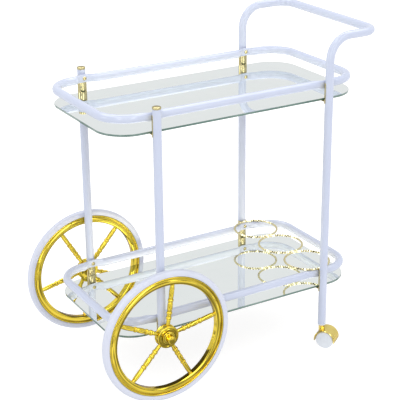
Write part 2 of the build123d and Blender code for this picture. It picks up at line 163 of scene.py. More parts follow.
def new_group(name, inputs, outputs):
    """Shader group with float inputs and outputs, and its two end nodes."""
    tree = bpy.data.node_groups.new(name, "ShaderNodeTree")
    for label, default in inputs.items():
        socket = tree.interface.new_socket(name=label, in_out="INPUT", socket_type="NodeSocketFloat")
        socket.default_value = default
    for label in outputs:
        tree.interface.new_socket(name=label, in_out="OUTPUT", socket_type="NodeSocketFloat")
    return tree, tree.nodes.new("NodeGroupInput"), tree.nodes.new("NodeGroupOutput")


# Shader groups shared by the finishes
HAIRLINE_TURNS = ((0.3, 0.2, 0.5), (1.2, 0.7, 2.1))
HAIRLINE_STRETCH = (1, 1, 0.03)


def handling_marks():
    """Soft smudges, and fine hairline scratches that lie in two directions."""
    tree, given, out = new_group("handling_marks", {"Smudge Scale": 20.0, "Hairline Scale": 300.0},
                                 ("Smudge", "Hairline"))
    place = add_node(tree, "ShaderNodeTexCoord").outputs["Object"]
    smudge = noise(tree, place, given.outputs["Smudge Scale"], detail=4.0, roughness=0.6)
    lines = []
    for turn in HAIRLINE_TURNS:
        turned = add_node(tree, "ShaderNodeMapping",
                          {"Vector": place, "Rotation": turn, "Scale": HAIRLINE_STRETCH})
        lines.append(noise(tree, turned.outputs["Vector"], given.outputs["Hairline Scale"], detail=2.0))
    tree.links.new(smudge, out.inputs["Smudge"])
    tree.links.new(calculate(tree, "MULTIPLY", *lines), out.inputs["Hairline"])
    return tree


def skin_ripple():
    """Height of a sprayed or moulded skin: slow ripple with fine grain on it."""
    tree, given, out = new_group("skin_ripple",
                                 {"Ripple Scale": 60.0, "Grain Scale": 900.0, "Grain Share": 0.3},
                                 ("Height",))
    place = add_node(tree, "ShaderNodeTexCoord").outputs["Object"]
    ripple = noise(tree, place, given.outputs["Ripple Scale"], detail=1.0)
    grain = noise(tree, place, given.outputs["Grain Scale"], detail=3.0)
    height = add_node(tree, "ShaderNodeMix",
                      {"Factor": given.outputs["Grain Share"], "A": ripple, "B": grain}, data_type="FLOAT")
    tree.links.new(height.outputs["Result"], out.inputs["Height"])
    return tree


# Finishes
MARKS = handling_marks()
RIPPLE = skin_ripple()
SMUDGE_SPAN = (0.35, 0.65)
HAZE_SPAN = (0.0, 0.35)


def finish(name, slot, colours, roughness, ripple, marks=(20.0, 300.0), bump=0.05, **shader):
    """Material whose colour and roughness drift with its marks, and whose skin ripples."""
    material = bpy.data.materials.new(name)
    material.use_nodes = True
    material["slot"] = slot
    tree = material.node_tree
    principled = tree.nodes["Principled BSDF"]
    mark_inputs = dict(zip(("Smudge Scale", "Hairline Scale"), marks))
    skin_inputs = dict(zip(("Ripple Scale", "Grain Scale", "Grain Share"), ripple))
    worn = add_node(tree, "ShaderNodeGroup", mark_inputs, node_tree=MARKS)
    skin = add_node(tree, "ShaderNodeGroup", skin_inputs, node_tree=RIPPLE)
    drift = fit_span(tree, worn.outputs["Smudge"], SMUDGE_SPAN)
    colour = mix_colours(tree, drift, (*colours[0], 1), (*colours[1], 1))
    haze = calculate(tree, "MULTIPLY", drift, worn.outputs["Hairline"])
    rough = fit_span(tree, haze, HAZE_SPAN, roughness)
    relief = add_node(tree, "ShaderNodeBump",
                      {"Height": skin.outputs["Height"], "Strength": bump, "Distance": MM})
    tree.links.new(colour, principled.inputs["Base Color"])
    tree.links.new(rough, principled.inputs["Roughness"])
    tree.links.new(relief.outputs["Normal"], principled.inputs["Normal"])
    for socket, value in shader.items():
        principled.inputs[socket.replace("_", " ")].default_value = value
    return material


def gold_finish(name, slot, colours, roughness, edge_tint):
    """Lacquered gold, whose tint at the turning edge is given; a tint darker than the gold paints shade
    along the edges.
    """
    return finish(name, slot, colours, roughness, ripple=(55.0, 800.0, 0.15), marks=(35.0, 400.0), bump=0.1,
                  Metallic=1.0, Specular_Tint=(*edge_tint, 1), Coat_Weight=0.8, Coat_Roughness=0.04)


PAINT = finish("white_paint", "white_paint", colours=((0.60, 0.65, 0.80), (0.58, 0.63, 0.785)),
               roughness=(0.14, 0.26), ripple=(40.0, 700.0, 0.35), bump=0.06, Coat_Weight=0.2,
               Coat_Roughness=0.06)
# The pale gold's darker edge tint paints some shade along the turning edges of the brackets, screws and
# caps.
GOLD = gold_finish("pale_gold", "gold_metal", colours=((0.64, 0.56, 0.29), (0.56, 0.48, 0.23)),
                   roughness=(0.12, 0.24), edge_tint=(0.45, 0.40, 0.25))
# The ring gold has a paler tone than the pale gold and is also lighter, which paints light on the rings.
RING_PALE_GOLD_LIT = gold_finish("ring_gold", "gold_metal", colours=((0.78, 0.71, 0.44), (0.70, 0.62, 0.35)),
                        roughness=(0.10, 0.20), edge_tint=(0.75, 0.66, 0.42))
# The wheel gold's near-black edge tint paints dark shade along the turning edges of the rim, spokes and hub.
WHEEL_GOLD = gold_finish("wheel_gold", "gold_plastic", colours=((0.78, 0.595, 0.04), (0.72, 0.535, 0.03)),
                         roughness=(0.03, 0.12), edge_tint=(0.10, 0.06, 0.0))
# The hood gold is a lighter copy of the wheel gold, which paints light on the caster hoods; its dark edge
# tint paints shade along their edges.
HOOD_GOLD_LIT = gold_finish("hood_gold", "gold_plastic", colours=((0.92, 0.74, 0.22), (0.86, 0.68, 0.19)),
                        roughness=(0.06, 0.16), edge_tint=(0.25, 0.18, 0.02))
MIRROR_FACE = finish("mirror_face", "mirror_glass", colours=((0.90, 0.93, 0.91), (0.88, 0.915, 0.895)),
                     roughness=(0.01, 0.05), ripple=(3.0, 60.0, 0.1), marks=(9.0, 200.0), bump=0.0,
                     Metallic=1.0)
MIRROR_EDGE = finish("mirror_edge", "mirror_glass", colours=((0.10, 0.18, 0.155), (0.15, 0.24, 0.21)),
                     roughness=(0.05, 0.16), ripple=(90.0, 600.0, 0.4), bump=0.03, Coat_Weight=1.0,
                     Coat_Roughness=0.03)
# The mirror backing is near black, darker than a real mirror's grey back paint: painted shade that stands in
# for the shadow under each shelf.
MIRROR_BACK_SHADE = finish("mirror_back", "mirror_glass", colours=((0.04, 0.03, 0.02), (0.03, 0.022, 0.016)),
                     roughness=(0.45, 0.7), ripple=(120.0, 1500.0, 0.5), bump=0.1)
RUBBER = finish("white_rubber", "white_tyre", colours=((0.69, 0.72, 0.83), (0.66, 0.69, 0.81)),
                roughness=(0.30, 0.5), ripple=(80.0, 1600.0, 0.6), marks=(30.0, 500.0), bump=0.12)
PLASTIC = finish("white_plastic", "white_plastic", colours=((0.76, 0.80, 0.86), (0.72, 0.76, 0.82)),
                 roughness=(0.22, 0.38), ripple=(70.0, 1200.0, 0.5), bump=0.06)
ZINC = finish("zinc_steel", "zinc_steel", colours=((0.62, 0.63, 0.66), (0.52, 0.53, 0.57)),
              roughness=(0.25, 0.5), ripple=(150.0, 1500.0, 0.5), marks=(120.0, 900.0), bump=0.1,
              Metallic=1.0)
BUSH = finish("bush_plastic", "bush_plastic", colours=((0.70, 0.70, 0.67), (0.62, 0.62, 0.58)),
              roughness=(0.4, 0.6), ripple=(150.0, 1500.0, 0.5), bump=0.08)
PAD = finish("clear_pad", "clear_pad", colours=((0.72, 0.76, 0.76), (0.64, 0.69, 0.69)),
             roughness=(0.2, 0.4), ripple=(200.0, 1500.0, 0.4), bump=0.05, Transmission_Weight=0.6, IOR=1.42)


# Mesh helpers

def only_verts(geometry):
    """Verts among an operator's results."""
    return [item for item in geometry if isinstance(item, bmesh.types.BMVert)]


def touching(verts, kind):
    """Edges or faces that touch some verts, each once."""
    return list(dict.fromkeys(item for vert in verts for item in getattr(vert, kind)))


def place_along(point, direction, side_hint=UP):
    """Matrix that carries Z to a direction and the origin to a point, with Y near the hint."""
    axis_z = Vector(direction).normalized()
    axis_x = Vector(side_hint).cross(axis_z).normalized()
    axis_y = axis_z.cross(axis_x)
    turn = Matrix((axis_x, axis_y, axis_z)).transposed().to_4x4()
    return Matrix.Translation(point) @ turn


def arc(centre, radii, start, end, steps):
    """Outline points on an ellipse round a (radius, height) centre, between two angles in degrees."""
    turns = [math.radians(start + (end - start) * step / steps) for step in range(steps + 1)]
    return [(centre[0] + radii[0] * math.cos(turn), centre[1] + radii[1] * math.sin(turn))
            for turn in turns]


def mirrored(outline):
    """Outline of the upper half, followed by its mirror image in the lower half."""
    return outline + [(r, -z) for r, z in reversed(outline)]


def draw_line(bm, points, closed=True):
    """Verts and edges of a line through points."""
    verts = [bm.verts.new(point) for point in points]
    nexts = verts[1:] + verts[:1] if closed else verts[1:]
    return verts, [bm.edges.new(pair) for pair in zip(verts, nexts)]


def cap_ends(bm, sides):
    """Close the open ends of a swept section."""
    bmesh.ops.holes_fill(bm, edges=[edge for edge in bm.edges if edge.is_boundary], sides=sides)


def turn_on_lathe(bm, outline, place, steps, closed=False):
    """Spin an outline of (radius, height) points in millimetres round the Z axis of a place."""
    old = set(bm.verts)
    verts, edges = draw_line(bm, [(r * MM, 0, z * MM) for r, z in outline], closed)
    bmesh.ops.spin(bm, geom=verts + edges, cent=(0, 0, 0), axis=UP, angle=2 * math.pi, steps=steps,
                   use_merge=True)
    made = [vert for vert in bm.verts if vert not in old]
    bmesh.ops.remove_doubles(bm, verts=made, dist=MERGE)
    made = [vert for vert in bm.verts if vert not in old]
    bmesh.ops.transform(bm, matrix=place, verts=made)
    return made


def tube_start(bm, point, direction, radius):
    """First ring of a tube."""
    slant = (0.31, 0.2, 0.93)
    made = bmesh.ops.create_circle(bm, cap_ends=False, radius=radius, segments=TUBE_SIDES,
                                   matrix=place_along(point, direction, slant))
    return made["verts"]


def ring_edges(ring):
    """Edges that run round a ring of verts."""
    members = set(ring)
    return [edge for edge in touching(ring, "link_edges") if members.issuperset(edge.verts)]


def tube_run(bm, ring, step):
    """Carry a tube straight on by a step."""
    made = bmesh.ops.extrude_edge_only(bm, edges=ring_edges(ring))
    ring = only_verts(made["geom"])
    bmesh.ops.translate(bm, verts=ring, vec=step)
    return ring


def tube_bend(bm, ring, centre, axis, degrees):
    """Carry a tube on round a bend."""
    made = bmesh.ops.spin(bm, geom=ring + ring_edges(ring), cent=centre, axis=axis,
                          angle=math.radians(degrees), steps=BEND_STEPS)
    return only_verts(made["geom_last"])


def soften(bm, offset, segments=2, angle=40):
    """Round off the edges that are sharper than an angle."""
    limit = math.radians(angle)
    sharp = [edge for edge in bm.edges if edge.is_manifold and edge.calc_face_angle(0) > limit]
    bmesh.ops.bevel(bm, geom=sharp, offset=offset, offset_type="OFFSET", segments=segments, profile=0.5,
                    affect="EDGES", material=-1, clamp_overlap=True)


def block(bm, low, high):
    """Box between two corners."""
    low, high = Vector(low), Vector(high)
    size = Matrix.Diagonal((*(high - low), 1))
    bmesh.ops.create_cube(bm, size=1, matrix=Matrix.Translation((low + high) / 2) @ size)


def make_piece(bm, name, body, finishes, *nodes, sharp=35):
    """Close up a mesh as a piece that rides on a body and stands for CAD nodes."""
    bmesh.ops.remove_doubles(bm, verts=bm.verts, dist=MERGE)
    bmesh.ops.recalc_face_normals(bm, faces=bm.faces)
    mesh = bpy.data.meshes.new(name)
    bm.to_mesh(mesh)
    bm.free()
    for material in finishes:
        mesh.materials.append(material)
    mesh.shade_smooth()
    mesh.set_sharp_from_angle(angle=math.radians(sharp))
    piece = bpy.data.objects.new(name, mesh)
    scene.collection.objects.link(piece)
    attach(piece, body)
    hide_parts(*nodes)


# White tube frame

def front_leg(side):
    """Straight leg tube with a rolled edge at both ends."""
    low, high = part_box(f"front_leg_{side}")
    edge = 0.6
    radius, length = tube_r / MM, (high.z - low.z) / MM
    outline = [(0, 0), (radius - edge, 0), (radius, edge), (radius, length - edge), (radius - edge, length),
               (0, length)]
    bm = bmesh.new()
    foot = Vector((front_x, SIDES[side] * leg_y, low.z))
    turn_on_lathe(bm, outline, Matrix.Translation(foot), TUBE_SIDES)
    make_piece(bm, f"front_leg_tube_{side}", "frame", [PAINT], f"front_leg_{side}")


def handle_tube():
    """Both rear legs and the push handle, one bent tube."""
    bm = bmesh.new()
    bend_z = handle_z - HANDLE_BEND_R
    bend_x = rear_x + HANDLE_BEND_R
    corner_x = handle_x - HANDLE_CORNER_R
    corner_y = leg_y - HANDLE_CORNER_R
    ring = tube_start(bm, (rear_x, -leg_y, foot_z), UP, tube_r)
    bmesh.ops.edgeloop_fill(bm, edges=ring_edges(ring))
    ring = tube_run(bm, ring, UP * (bend_z - foot_z))
    ring = tube_bend(bm, ring, (bend_x, -leg_y, bend_z), ACROSS, 90)
    ring = tube_run(bm, ring, ALONG * (corner_x - bend_x))
    ring = tube_bend(bm, ring, (corner_x, -corner_y, handle_z), UP, 90)
    ring = tube_run(bm, ring, ACROSS * (2 * corner_y))
    ring = tube_bend(bm, ring, (corner_x, corner_y, handle_z), UP, 90)
    ring = tube_run(bm, ring, ALONG * (bend_x - corner_x))
    ring = tube_bend(bm, ring, (bend_x, leg_y, bend_z), ACROSS, -90)
    ring = tube_run(bm, ring, UP * (foot_z - bend_z))
    bmesh.ops.edgeloop_fill(bm, edges=ring_edges(ring))
    make_piece(bm, "handle_tube", "frame", [PAINT], "handle_frame")


def press_ramp():
    """Distance from a leg's middle and share of the thickness, from the flat out to the full tube."""
    thin = RAIL_PRESS_T / (2 * tube_r)
    stops = []
    for step in range(PRESS_STEPS + 1):
        share = step / PRESS_STEPS
        swell = thin + (1 - thin) * share**2 * (3 - 2 * share)
        stops.append((RAIL_PRESS_FLAT / 2 + RAIL_PRESS_RAMP * share, swell))
    return stops


def pressed_run(bm, ring, start_x, end_x, y, rail_z):
    """Straight side of a rail, pressed flat against the two legs that it passes."""
    way = math.copysign(1, end_x - start_x)
    outside = Vector((0, y + math.copysign(tube_r, y), rail_z))
    ramp = press_ramp()
    stops = []
    for leg_x in sorted(ends.values(), reverse=way < 0):
        stops += [(leg_x - way * away, part) for away, part in reversed(ramp)]
        stops += [(leg_x + way * away, part) for away, part in ramp]
    stops.append((end_x, 1.0))
    x, thickness = start_x, 1.0
    for stop_x, stop_thickness in stops:
        ring = tube_run(bm, ring, (stop_x - x, 0, 0))
        bmesh.ops.scale(bm, vec=(1, stop_thickness / thickness, 1), space=Matrix.Translation(-outside),
                        verts=ring)
        x, thickness = stop_x, stop_thickness
    return ring


def guard_rail(shelf):
    """Closed rail loop with four round corners."""
    bm = bmesh.new()
    rail_z = middle(f"{shelf}_guard_rail").z
    run_x = rail_half_x - RAIL_CORNER_R
    run_y = rail_half_y - RAIL_CORNER_R
    front, rear = cart_x - run_x, cart_x + run_x
    ring = tube_start(bm, (front, -rail_half_y, rail_z), ALONG, tube_r)
    ring = pressed_run(bm, ring, front, rear, -rail_half_y, rail_z)
    ring = tube_bend(bm, ring, (rear, -run_y, rail_z), UP, 90)
    ring = tube_run(bm, ring, ACROSS * (2 * run_y))
    ring = tube_bend(bm, ring, (rear, run_y, rail_z), UP, 90)
    ring = pressed_run(bm, ring, rear, front, rail_half_y, rail_z)
    ring = tube_bend(bm, ring, (front, run_y, rail_z), UP, 90)
    ring = tube_run(bm, ring, ACROSS * (-2 * run_y))
    tube_bend(bm, ring, (front, -run_y, rail_z), UP, 90)
    make_piece(bm, f"{shelf}_rail_tube", "frame", [PAINT], f"{shelf}_guard_rail")


# Mirror shelves

def mirror_shelf(shelf):
    """Mirror sheet with round corners and a polished edge."""
    bm = bmesh.new()
    low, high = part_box(f"{shelf}_shelf")
    flat = 0.99
    block(bm, low, high)
    uprights = [edge for edge in bm.edges if abs(edge.verts[0].co.z - edge.verts[1].co.z) > MM]
    bmesh.ops.bevel(bm, geom=uprights, offset=MIRROR_CORNER_R, offset_type="OFFSET",
                    segments=MIRROR_CORNER_STEPS, profile=0.5, affect="EDGES", material=-1)
    soften(bm, MIRROR_ARRIS, segments=3, angle=60)
    # Top faces take the mirror face, edge faces the polished edge, and the underside the near-black backing
    # that paints the shade under the shelf.
    for face in bm.faces:
        level = face.normal.z
        face.material_index = 0 if level > flat else 2 if level < -flat else 1
    make_piece(bm, f"{shelf}_mirror", "frame", [MIRROR_FACE, MIRROR_EDGE, MIRROR_BACK_SHADE], f"{shelf}_shelf",
               sharp=10)


# Gold brackets, pads, screws and leg caps

def saddle_bracket(shelf, end, side):
    """Half-round saddle on a leg, with a ledge under the mirror and a gusset under the ledge."""
    node = f"{shelf}_{end}_{side}_bracket"
    low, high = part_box(node)
    inward = -SIDES[side]
    leg = Vector((ends[end], SIDES[side] * leg_y, 0))
    ledge_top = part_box(f"{shelf}_shelf_pads")[0].z
    sheet, play, ledge_half_w, gusset_half_t, edge = 1.5 * MM, 0.05 * MM, 8 * MM, 1.25 * MM, 0.35 * MM
    inner_r = tube_r + play
    outer_r = inner_r + sheet
    bm = bmesh.new()
    corners = ((inner_r, low.z), (outer_r, low.z), (outer_r, high.z), (inner_r, high.z))
    verts, edges = draw_line(bm, [(leg.x + r, leg.y, z) for r, z in corners])
    bmesh.ops.spin(bm, geom=verts + edges, cent=leg, axis=UP, angle=inward * math.pi, steps=SADDLE_STEPS)
    cap_ends(bm, sides=len(corners))
    near = leg.y + inward * (outer_r - sheet / 2)
    tip = leg.y + inward * (high.y - low.y)
    under = ledge_top - sheet
    block(bm, (leg.x - ledge_half_w, min(near, tip), under),
          (leg.x + ledge_half_w, max(near, tip), ledge_top))
    gusset = ((near, under), (tip - inward * sheet, under), (near, low.z))
    face = bm.faces.new([bm.verts.new((leg.x - gusset_half_t, y, z)) for y, z in gusset])
    made = bmesh.ops.extrude_face_region(bm, geom=[face])
    bmesh.ops.translate(bm, verts=only_verts(made["geom"]), vec=ALONG * (2 * gusset_half_t))
    bmesh.ops.recalc_face_normals(bm, faces=bm.faces)
    soften(bm, edge)
    make_piece(bm, f"{shelf}_{end}_{side}_saddle", "frame", [GOLD], node)


def shelf_pads(shelf):
    """Soft discs between the ledges and the mirror."""
    low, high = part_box(f"{shelf}_shelf_pads")
    pad_r, edge, thick = 5.5, 0.3, (high.z - low.z) / MM
    outline = [(0, 0), (pad_r - edge, 0), (pad_r, edge), (pad_r, thick - edge), (pad_r - edge, thick),
               (0, thick)]
    bm = bmesh.new()
    for x in ends.values():
        for y in (low.y + pad_r * MM, high.y - pad_r * MM):
            turn_on_lathe(bm, outline, Matrix.Translation((x, y, low.z)), steps=32)
    make_piece(bm, f"{shelf}_soft_pads", "frame", [PAD], f"{shelf}_shelf_pads")


def cross_recess(bm, head, place):
    """Cross sunk into the dome of a screw head."""
    reach, depth, arm_half_w, foot_h = 2.7, 1.1, 0.62, 0.5
    arms = []
    for face in touching(head, "link_faces"):
        spot = (place.inverted() @ face.calc_center_median()) / MM
        off_arm = min(abs(spot.x), abs(spot.y))
        if spot.z > foot_h and math.hypot(spot.x, spot.y) < reach and off_arm < arm_half_w:
            arms.append(face)
    cut = bmesh.ops.extrude_face_region(bm, geom=arms)
    bmesh.ops.delete(bm, geom=arms, context="FACES_ONLY")
    bmesh.ops.translate(bm, verts=only_verts(cut["geom"]), vec=place.to_3x3() @ UP * (-depth * MM))


def dome_head_screws():
    """Dome-headed screws on the rails' flats, with a cross recess."""
    head_r, head_h = 5.0, 3.4
    ball_r = (head_r**2 + head_h**2) / (2 * head_h)
    span = math.degrees(math.asin(head_r / ball_r))
    outline = arc((0, head_h - ball_r), (ball_r, ball_r), 90, 90 - span, 14) + [(0, 0)]
    bm = bmesh.new()
    for shelf in SHELVES:
        rail_z = middle(f"{shelf}_guard_rail").z
        for x in ends.values():
            for side in SIDES.values():
                seat = Vector((x, side * (rail_half_y + tube_r - RAIL_PRESS_T), rail_z))
                place = place_along(seat, (0, -side, 0))
                head = turn_on_lathe(bm, outline, place, steps=48)
                cross_recess(bm, head, place)
    make_piece(bm, "dome_head_screws", "frame", [GOLD], "rail_screws")


def leg_cap(side):
    """Gold cap on the top end of a front leg, slightly crowned."""
    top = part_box(f"front_leg_{side}")[1].z
    height = (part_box(f"front_leg_cap_{side}")[1].z - top) / MM
    radius, edge, roll_r, roll_drop = tube_r / MM, 0.4, 1.8, 2.6
    outline = [(0, 0), (radius - edge, 0), (radius, edge), (radius, height - roll_drop)]
    outline += arc((radius - roll_r, height - roll_drop), (roll_r, roll_r), 0, 75, 6)
    outline += [(radius - 4.5, height - 0.25), (0, height)]
    bm = bmesh.new()
    turn_on_lathe(bm, outline, Matrix.Translation((front_x, SIDES[side] * leg_y, top)), TUBE_SIDES)
    make_piece(bm, f"leg_end_cap_{side}", "frame", [GOLD], f"front_leg_cap_{side}")


# Bottle rings of twisted square bar

def twisted_ring(name, centre_y, braze_ys):
    """Ring of twisted square bar, with braze lumps where it meets its neighbours."""
    node = f"bottle_ring_{name}"
    bar_r, flats, steps_a_flat, half_chamfer = 2.75 * MM, 26, 8, 8
    lump_radii = (4.0 * MM, 2.6 * MM, 2.9 * MM)
    ring_r = extent(node).x / 2 - bar_r
    centre = Vector((rear_x, centre_y, middle(node).z))
    place = place_along(centre + ALONG * ring_r, ACROSS)
    steps = flats * steps_a_flat
    around = Matrix.Rotation(2 * math.pi / steps, 3, "Z")
    corners = [math.radians(turn + side * half_chamfer) for turn in (45, 135, 225, 315) for side in (-1, 1)]
    bm = bmesh.new()
    ring, _ = draw_line(bm, [place @ Vector((math.cos(turn) * bar_r, math.sin(turn) * bar_r, 0))
                             for turn in corners])
    for step in range(1, steps + 1):
        turn = 2 * math.pi * step / steps
        here = centre + Vector((math.cos(turn), math.sin(turn), 0)) * ring_r
        bar_way = Vector((-math.sin(turn), math.cos(turn), 0))
        twist = Matrix.Rotation(math.pi / 2 / steps_a_flat, 3, bar_way)
        ring = tube_run(bm, ring, (0, 0, 0))
        bmesh.ops.rotate(bm, verts=ring, cent=centre, matrix=around)
        bmesh.ops.rotate(bm, verts=ring, cent=here, matrix=twist)
    for y in braze_ys:
        lump = Matrix.Translation((rear_x, y, centre.z)) @ Matrix.Diagonal((*lump_radii, 1))
        bmesh.ops.create_icosphere(bm, subdivisions=3, radius=1, matrix=lump)
    make_piece(bm, f"twisted_ring_{name}", "frame", [RING_PALE_GOLD_LIT], node, sharp=30)


def bottle_rings():
    """Row of three rings, brazed to each other and to the rear brackets."""
    gap, saddle_reach = 0.1 * MM, 3 * MM
    pitch = extent("bottle_ring_middle").x + gap
    saddle_y = leg_y - tube_r - saddle_reach
    twisted_ring("middle", 0, [-pitch / 2, pitch / 2])
    for name, side in SIDES.items():
        twisted_ring(name, side * pitch, [side * saddle_y])


# Large wheels, drawn in millimetres about the axle with the outer face towards +Z
SPOKES = 5
SPOKE_GAP = 360 / SPOKES


def wheel_place(side):
    """Place of a large wheel, whose Z runs outwards along the axle."""
    return place_along(wheel_centre[side], (0, SIDES[side], 0))


def white_tyre(side):
    """Plain tyre with a rounded tread, a mould line and a bead against the rim."""
    seat_play, tread_drop, tread_r = 0.1, 0.05, 7.0
    seat_r = extent(f"wheel_rim_{side}").z / 2 / MM + seat_play
    outer_r = wheel_r / MM - tread_drop
    half_w = extent(f"wheel_tyre_{side}").y / 2 / MM
    bead = [(seat_r, 5.4), (seat_r + 0.4, 7.2), (seat_r + 1.6, half_w - 0.35), (seat_r + 3.2, half_w)]
    tread = arc((outer_r - tread_r, half_w - tread_r), (tread_r, tread_r), 90, 8, 12)
    mould_line = [(outer_r, 0.7), (outer_r - 0.35, 0.3)]
    bm = bmesh.new()
    turn_on_lathe(bm, mirrored(bead + tread + mould_line), wheel_place(side), WHEEL_STEPS, closed=True)
    make_piece(bm, f"white_tyre_{side}", f"{side}_wheel", [RUBBER], f"wheel_tyre_{side}")


def gold_rim(side):
    """Rim with a rolled lip beside the tyre, a groove, a broad bead and a flat inside."""
    outer_r = extent(f"wheel_rim_{side}").z / 2 / MM
    lip_w, groove_w, face_w, shoulder, crest = 4.0, 1.0, 19.0, 6.0, 8.5
    inner_r, bead_r = outer_r - face_w, outer_r - lip_w - groove_w
    half_bead, rise = (bead_r - inner_r) / 2, crest - shoulder
    curve_r = (half_bead**2 + rise**2) / (2 * rise)
    span = math.degrees(math.asin(half_bead / curve_r))
    seat = [(outer_r, 0.0), (outer_r, shoulder - 0.4)]
    lip = arc((outer_r - lip_w / 2, shoulder), (lip_w / 2, rise), 5, 175, 10)
    groove = [(outer_r - lip_w - 0.1, shoulder - 0.3), (bead_r + 0.1, shoulder - 0.3)]
    bead = arc((inner_r + half_bead, crest - curve_r), (curve_r, curve_r), 90 - span, 90 + span, 14)
    inside = [(inner_r + 0.05, shoulder - 0.35), (inner_r, shoulder - 0.9)]
    bm = bmesh.new()
    turn_on_lathe(bm, mirrored(seat + lip + groove + bead + inside), wheel_place(side), WHEEL_STEPS,
                  closed=True)
    make_piece(bm, f"gold_rim_{side}", f"{side}_wheel", [WHEEL_GOLD], f"wheel_rim_{side}")


def first_spoke_turn(side):
    """Angle of the first spoke in the wheel's own place, read from the ends of the CAD spokes."""
    end_band = 0.4 * MM
    place = wheel_place(side).inverted()
    spots = [place @ vert.co for vert in frame["nodes"][f"wheel_spokes_{side}"].data.vertices]
    reach = max(math.hypot(spot.x, spot.y) for spot in spots) - end_band
    ends_only = [spot for spot in spots if math.hypot(spot.x, spot.y) > reach]
    turns = [math.degrees(math.atan2(spot.y, spot.x)) % SPOKE_GAP for spot in ends_only]
    first = turns[0]
    half_gap = SPOKE_GAP / 2
    return first + sum((turn - first + half_gap) % SPOKE_GAP - half_gap for turn in turns) / len(turns)


def bulge(at, half_length, low_r, high_r, steps=10):
    """Rounded swelling of a turned spoke."""
    return [(low_r + (high_r - low_r) * math.sin(math.pi * step / steps),
             at - half_length * math.cos(math.pi * step / steps)) for step in range(steps + 1)]


def spoke_bead(at, neck, fillet, bead):
    """Bead of a turned spoke between two fillets."""
    foot = neck + 0.2
    below = [(fillet, at - 4.6), (fillet, at - 3.7), (foot, at - 3.4)]
    above = [(foot, at + 3.4), (fillet, at + 3.7), (fillet, at + 4.6), (neck, at + 4.9)]
    return below + bulge(at, 3.25, foot, bead) + above


def spoke_outline():
    """Outline of a turned spoke from the hub out to the rim."""
    neck, fillet, bead, swell, outer_swell, root_r, collar_r = 5.1, 5.6, 6.8, 6.4, 5.9, 4.2, 4.8
    hub_core, root, root_end, rim_in, plain_end = 24.5, 28.1, 42.0, 131.0, 6.0
    inner_at, second_at, outer_at, clear, lead = 46.0, 58.5, 90.0, 5.2, 4.9
    outline = [(root_r, hub_core), (root_r, root), (root_r + 0.4, root + 0.1), (collar_r, root + 0.4),
               (collar_r, root + 1.5), (neck, root_end)]
    outline += spoke_bead(inner_at, neck, fillet, bead)
    outline += [(neck, second_at - lead)] + spoke_bead(second_at, neck, fillet, bead)
    outline += bulge((second_at + outer_at) / 2, (outer_at - second_at) / 2 - clear, neck, swell, 16)
    outline += [(neck, outer_at - lead)] + spoke_bead(outer_at, neck, fillet, bead)
    start, stop = outer_at + clear, rim_in - plain_end
    outline += bulge((start + stop) / 2, (stop - start) / 2, neck, outer_swell, 16)
    return outline + [(neck - 0.1, rim_in - 3), (neck - 0.2, rim_in + 1)]


def turned_spokes(side):
    """Five turned spokes with a slim root, beads, and a swell on each side of the outer bead."""
    place = wheel_place(side)
    first = first_spoke_turn(side)
    lie_down = Matrix.Rotation(math.pi / 2, 4, "Y")
    outline = spoke_outline()
    bm = bmesh.new()
    for step in range(SPOKES):
        spin = Matrix.Rotation(math.radians(SPOKE_GAP * step + first), 4, "Z")
        turn_on_lathe(bm, outline, place @ spin @ lie_down, steps=32)
    make_piece(bm, f"turned_spokes_{side}", f"{side}_wheel", [WHEEL_GOLD], f"wheel_spokes_{side}", sharp=50)


def drum_hub(side):
    """Drum hub with two rounded flanges, a waist for the spokes and a stepped boss at the back."""
    flange_r, half_w, core_r, bore_r, back = 27.5, 9.0, 25.0, 6.2, -10.7
    edge, hollow, hollow_z = 1.7, (1.6, 1.4), 4.6
    face = [(bore_r, half_w - 1), (17.6, half_w - 1), (18.0, half_w), (20.2, half_w), (20.8, half_w - 0.7),
            (22.0, half_w - 0.7), (22.6, half_w)]
    front_flange = arc((flange_r - edge, half_w - edge), (edge, edge), 90, -30, 8)
    waist = arc((core_r + hollow[0], hollow_z), hollow, 100, 180, 4) + [(core_r, -hollow_z)]
    waist += arc((core_r + hollow[0], -hollow_z), hollow, 180, 260, 4)
    back_flange = arc((flange_r - edge, edge - half_w), (edge, edge), 30, -90, 8)
    boss = [(20.4, -half_w), (20.0, -half_w - 0.3), (20.0, -half_w - 0.6), (19.6, -half_w - 0.85),
            (14.4, -half_w - 0.85), (14.0, -half_w - 1.1), (14.0, back + 0.3), (13.7, back), (bore_r, back)]
    bm = bmesh.new()
    turn_on_lathe(bm, face + front_flange + waist + back_flange + boss, wheel_place(side), steps=96,
                  closed=True)
    make_piece(bm, f"drum_hub_{side}", f"{side}_wheel", [WHEEL_GOLD], f"wheel_hub_{side}")


def hub_cap(side):
    """Barrel cap on a rolled flange, with a rounded end."""
    base, top, flange_r, flange_t, barrel_r = 9.05, 27.3, 15.4, 2.4, 9.9
    edge, roll_r, hollow_r, end_r, end_drop = 0.4, 1.3, 1.5, 2.0, 0.3
    outline = [(0, base), (flange_r - edge, base), (flange_r, base + edge)]
    outline += arc((flange_r - roll_r, base + flange_t - roll_r), (roll_r, roll_r), 0, 90, 6)
    outline += arc((barrel_r + hollow_r, base + flange_t + hollow_r), (hollow_r, hollow_r), 270, 180, 5)
    outline += arc((barrel_r - end_r, top - end_r - end_drop), (end_r, end_r), 0, 80, 8)
    outline += [(barrel_r - 4.5, top - 0.1), (0, top)]
    bm = bmesh.new()
    turn_on_lathe(bm, outline, wheel_place(side), steps=72)
    make_piece(bm, f"barrel_hub_cap_{side}", f"{side}_wheel", [WHEEL_GOLD], f"hub_cap_{side}")


# Casters, drawn in millimetres about the axle
HOOD_IN_R = 25.0
HOOD_R = 27.0
HOOD_SKIRT = 4.0


def caster_parts(side):
    """Axle centre, swivel foot and axle direction of a caster."""
    joint = joints[f"{side}_caster_front_wheel_spin"]
    axle = Vector(joint["pos_m"])
    foot = Vector((rear_x, SIDES[side] * leg_y, axle.z))
    return axle, foot, Vector(joint["axis"]).normalized()


